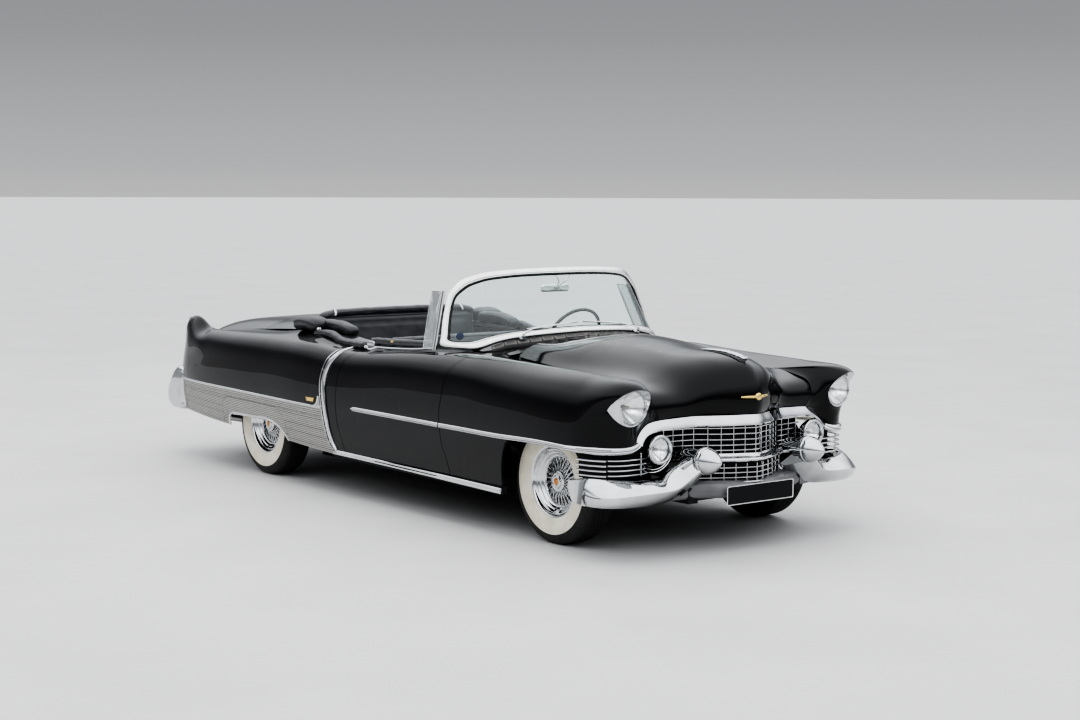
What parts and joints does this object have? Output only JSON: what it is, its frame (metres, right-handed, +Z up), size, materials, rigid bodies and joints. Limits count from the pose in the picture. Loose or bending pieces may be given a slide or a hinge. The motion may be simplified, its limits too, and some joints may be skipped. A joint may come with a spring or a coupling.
{
  "type": "open 1950s luxury convertible car",
  "caption": "Open black 1950s convertible car with tail fins, wrap-round windshield, chrome bumpers and grille, ribbed bright lower rear quarters, wire wheels and whitewall tyres.",
  "frame": {"origin": "on the floor below the middle of the car's length and width", "axes": "+X to the car's front, +Y to its left, +Z up"},
  "size_m": [5.673, 2.02, 1.5269],
  "materials": {
    "black_paint": "deep gloss black enamel",
    "chrome": "polished chrome plate",
    "ribbed_aluminium": "horizontally ribbed bright aluminium",
    "satin_frame": "satin bright frame",
    "glass": "pale green tinted safety glass",
    "lens": "clear fluted lens",
    "red_lens": "deep red lens",
    "leather": "black leather",
    "carpet": "dark carpet",
    "tyre": "black tread with cream side bands",
    "dark_steel": "chassis black",
    "bare_steel": "worn steel",
    "cast": "engine enamel over iron",
    "grey_metal": "dull plated metal",
    "plate": "blank plate"
  },
  "bodies": {
    "body_and_frame": {"chassis_frame": "dark_steel", "cowl_and_firewall": "black_paint", "dashboard": "black_paint", "drive_shaft": "bare_steel", "engine_block": "cast", "exhaust_pipes": "bare_steel", "fender_skirts": "ribbed_aluminium", "floor_pan": "carpet", "front_bumper": "chrome", "front_fender_left": "black_paint", "front_fender_right": "black_paint", "front_grille": "chrome", "front_seat_back": "leather", "front_seat_cushion": "leather", "front_valance": "grey_metal", "fuel_tank": "dark_steel", "lamp_bezels": "chrome", "inner_fenders": "dark_steel", "lamp_lenses": "lens", "leaf_springs": "dark_steel", "number_plates": "plate", "radiator": "dark_steel", "rear_axle": "dark_steel", "rear_bumper": "chrome", "rear_quarter_left": "black_paint", "rear_quarter_right": "black_paint", "rear_seat_back": "leather", "rear_seat_cushion": "leather", "rear_side_bolsters": "leather", "rear_side_trim": "leather", "sills": "dark_steel", "steering_column": "dark_steel", "suspension_arms": "dark_steel", "tail_lamps": "red_lens", "tail_panel": "black_paint", "windshield_frame": "satin_frame", "windshield_glass": "glass"},
    "hood": {"hood": "black_paint"},
    "trunk_lid": {"trunk_lid": "black_paint"},
    "boot_cover": {"top_boot_cover": "black_paint"},
    "door_left": {"door_left": "black_paint", "door_pad_left": "leather", "vent_window_left": "glass"},
    "door_right": {"door_right": "black_paint", "door_pad_right": "leather", "vent_window_right": "glass"},
    "steering_wheel": {"steering_wheel": "dark_steel"},
    "steer_left": {"knuckle_left": "bare_steel"},
    "steer_right": {"knuckle_right": "bare_steel"},
    "road_wheel_fl": {"wheel_front_left": "chrome", "tyre_front_left": "tyre"},
    "road_wheel_fr": {"wheel_front_right": "chrome", "tyre_front_right": "tyre"},
    "road_wheel_rl": {"wheel_rear_left": "chrome", "tyre_rear_left": "tyre"},
    "road_wheel_rr": {"wheel_rear_right": "chrome", "tyre_rear_right": "tyre"}
  },
  "joints": [
    {"name": "wheel_front_left_spin", "type": "hinge", "parent": "steer_left", "child": "road_wheel_fl", "pos_m": [1.9, 0.762, 0.36], "axis": [0, 1, 0], "continuous": true},
    {"name": "wheel_front_right_spin", "type": "hinge", "parent": "steer_right", "child": "road_wheel_fr", "pos_m": [1.9, -0.762, 0.36], "axis": [0, 1, 0], "continuous": true},
    {"name": "wheel_rear_left_spin", "type": "hinge", "parent": "body_and_frame", "child": "road_wheel_rl", "pos_m": [-1.377, 0.8015, 0.36], "axis": [0, 1, 0], "continuous": true},
    {"name": "wheel_rear_right_spin", "type": "hinge", "parent": "body_and_frame", "child": "road_wheel_rr", "pos_m": [-1.377, -0.8015, 0.36], "axis": [0, 1, 0], "continuous": true},
    {"name": "steer_left_pivot", "type": "hinge", "parent": "body_and_frame", "child": "steer_left", "pos_m": [1.9, 0.69, 0.36], "axis": [0, 0, 1], "range_deg": [-30, 30]},
    {"name": "steer_right_pivot", "type": "hinge", "parent": "body_and_frame", "child": "steer_right", "pos_m": [1.9, -0.69, 0.36], "axis": [0, 0, 1], "range_deg": [-30, 30]},
    {"name": "steering_wheel_turn", "type": "hinge", "parent": "body_and_frame", "child": "steering_wheel", "pos_m": [0.52, 0.39, 1.045], "axis": [-0.8829, 0, 0.4695], "range_deg": [-545, 545]},
    {"name": "door_left_hinge", "type": "hinge", "parent": "body_and_frame", "child": "door_left", "pos_m": [1.075, 0.955, 0.65], "axis": [0, 0, -1], "range_deg": [0, 65]},
    {"name": "door_right_hinge", "type": "hinge", "parent": "body_and_frame", "child": "door_right", "pos_m": [1.075, -0.955, 0.65], "axis": [0, 0, 1], "range_deg": [0, 65]},
    {"name": "hood_hinge", "type": "hinge", "parent": "body_and_frame", "child": "hood", "pos_m": [1.186, 0, 1.164], "axis": [0, -1, 0], "range_deg": [0, 50]},
    {"name": "trunk_lid_hinge", "type": "hinge", "parent": "body_and_frame", "child": "trunk_lid", "pos_m": [-1.7, 0, 1.09], "axis": [0, 1, 0], "range_deg": [0, 55]},
    {"name": "boot_cover_hinge", "type": "hinge", "parent": "body_and_frame", "child": "boot_cover", "pos_m": [-1.698, 0, 1.09], "axis": [0, -1, 0], "range_deg": [0, 45]}
  ],
  "couplings": [
    {"joint": "steer_right_pivot", "follows": "steer_left_pivot", "ratio": 1},
    {"joint": "steering_wheel_turn", "follows": "steer_left_pivot", "ratio": 18}
  ]
}
